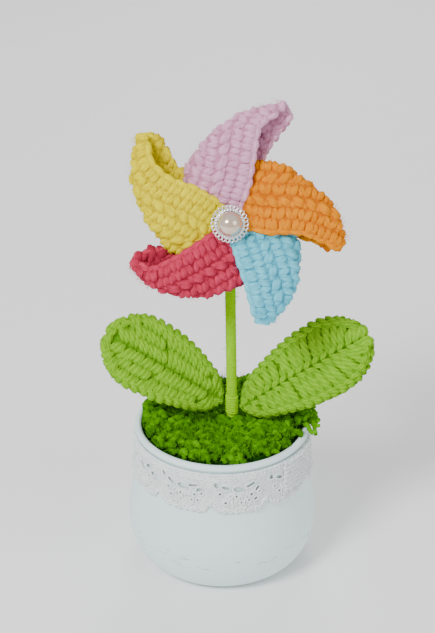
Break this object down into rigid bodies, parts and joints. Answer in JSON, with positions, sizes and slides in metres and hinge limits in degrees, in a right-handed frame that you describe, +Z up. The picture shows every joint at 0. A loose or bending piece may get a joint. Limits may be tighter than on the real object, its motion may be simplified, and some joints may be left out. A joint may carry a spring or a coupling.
{
  "type": "potted crochet pinwheel ornament",
  "caption": "Potted crochet pinwheel ornament: folded yarn blades turn on a pin at the head of a wrapped wire stem, with two leaves, moss and a lace-trimmed pot.",
  "frame": {"origin": "middle of the pot's flat foot", "axes": "+Z up along the pot's axis, -Y the way the wheel faces, +X to the right seen from the front"},
  "size_m": [0.109, 0.08, 0.2027],
  "materials": {
    "pot_plastic": "smooth matt white",
    "plaster": "cast plaster",
    "foam": "dry flower foam",
    "moss_yarn": "curly chenille yarn",
    "lace_cotton": "crochet cotton lace",
    "wire": "drawn wire",
    "stem_yarn": "close-wound cotton yarn",
    "leaf_yarn": "crochet cotton yarn",
    "yellow_yarn": "crochet cotton yarn",
    "lilac_yarn": "crochet cotton yarn",
    "orange_yarn": "crochet cotton yarn",
    "blue_yarn": "crochet cotton yarn",
    "rose_yarn": "crochet cotton yarn",
    "felt": "pressed felt",
    "bead_plastic": "moulded bead",
    "silver_setting": "bright plated",
    "pearl_gloss": "pearlescent"
  },
  "bodies": {
    "stand": {"pot": "pot_plastic", "plaster_weight": "plaster", "foam_plug": "foam", "moss_mat": "moss_yarn", "moss_overhang": "moss_yarn", "lace_band": "lace_cotton", "lace_end": "lace_cotton", "stem_wire": "wire", "stem_wrap": "stem_yarn", "leaf_binding": "stem_yarn", "axle_sleeve": "wire"},
    "wheel": {"blade_yellow": "yellow_yarn", "blade_lilac": "lilac_yarn", "blade_orange": "orange_yarn", "blade_blue": "blue_yarn", "blade_rose": "rose_yarn", "hub_pad": "felt", "axle_pin": "wire", "front_bead": "bead_plastic", "rear_bead": "bead_plastic", "pearl_setting": "silver_setting", "pearl": "pearl_gloss"},
    "leaf_left": {"left_leaf": "leaf_yarn", "left_leaf_wire": "wire"},
    "leaf_right": {"right_leaf": "leaf_yarn", "right_leaf_wire": "wire"}
  },
  "joints": [
    {"name": "wheel_spin", "type": "hinge", "parent": "stand", "child": "wheel", "pos_m": [0.0027, -0.011, 0.1591], "axis": [0, -0.9272, 0.3746], "continuous": true},
    {"name": "left_leaf_bend", "type": "hinge", "parent": "stand", "child": "leaf_left", "pos_m": [-0.0005, 0, 0.073], "axis": [0, 1, 0], "range_deg": [-4, 10]},
    {"name": "right_leaf_bend", "type": "hinge", "parent": "stand", "child": "leaf_right", "pos_m": [0.0085, 0, 0.0695], "axis": [0, -1, 0], "range_deg": [-4, 10]}
  ]
}
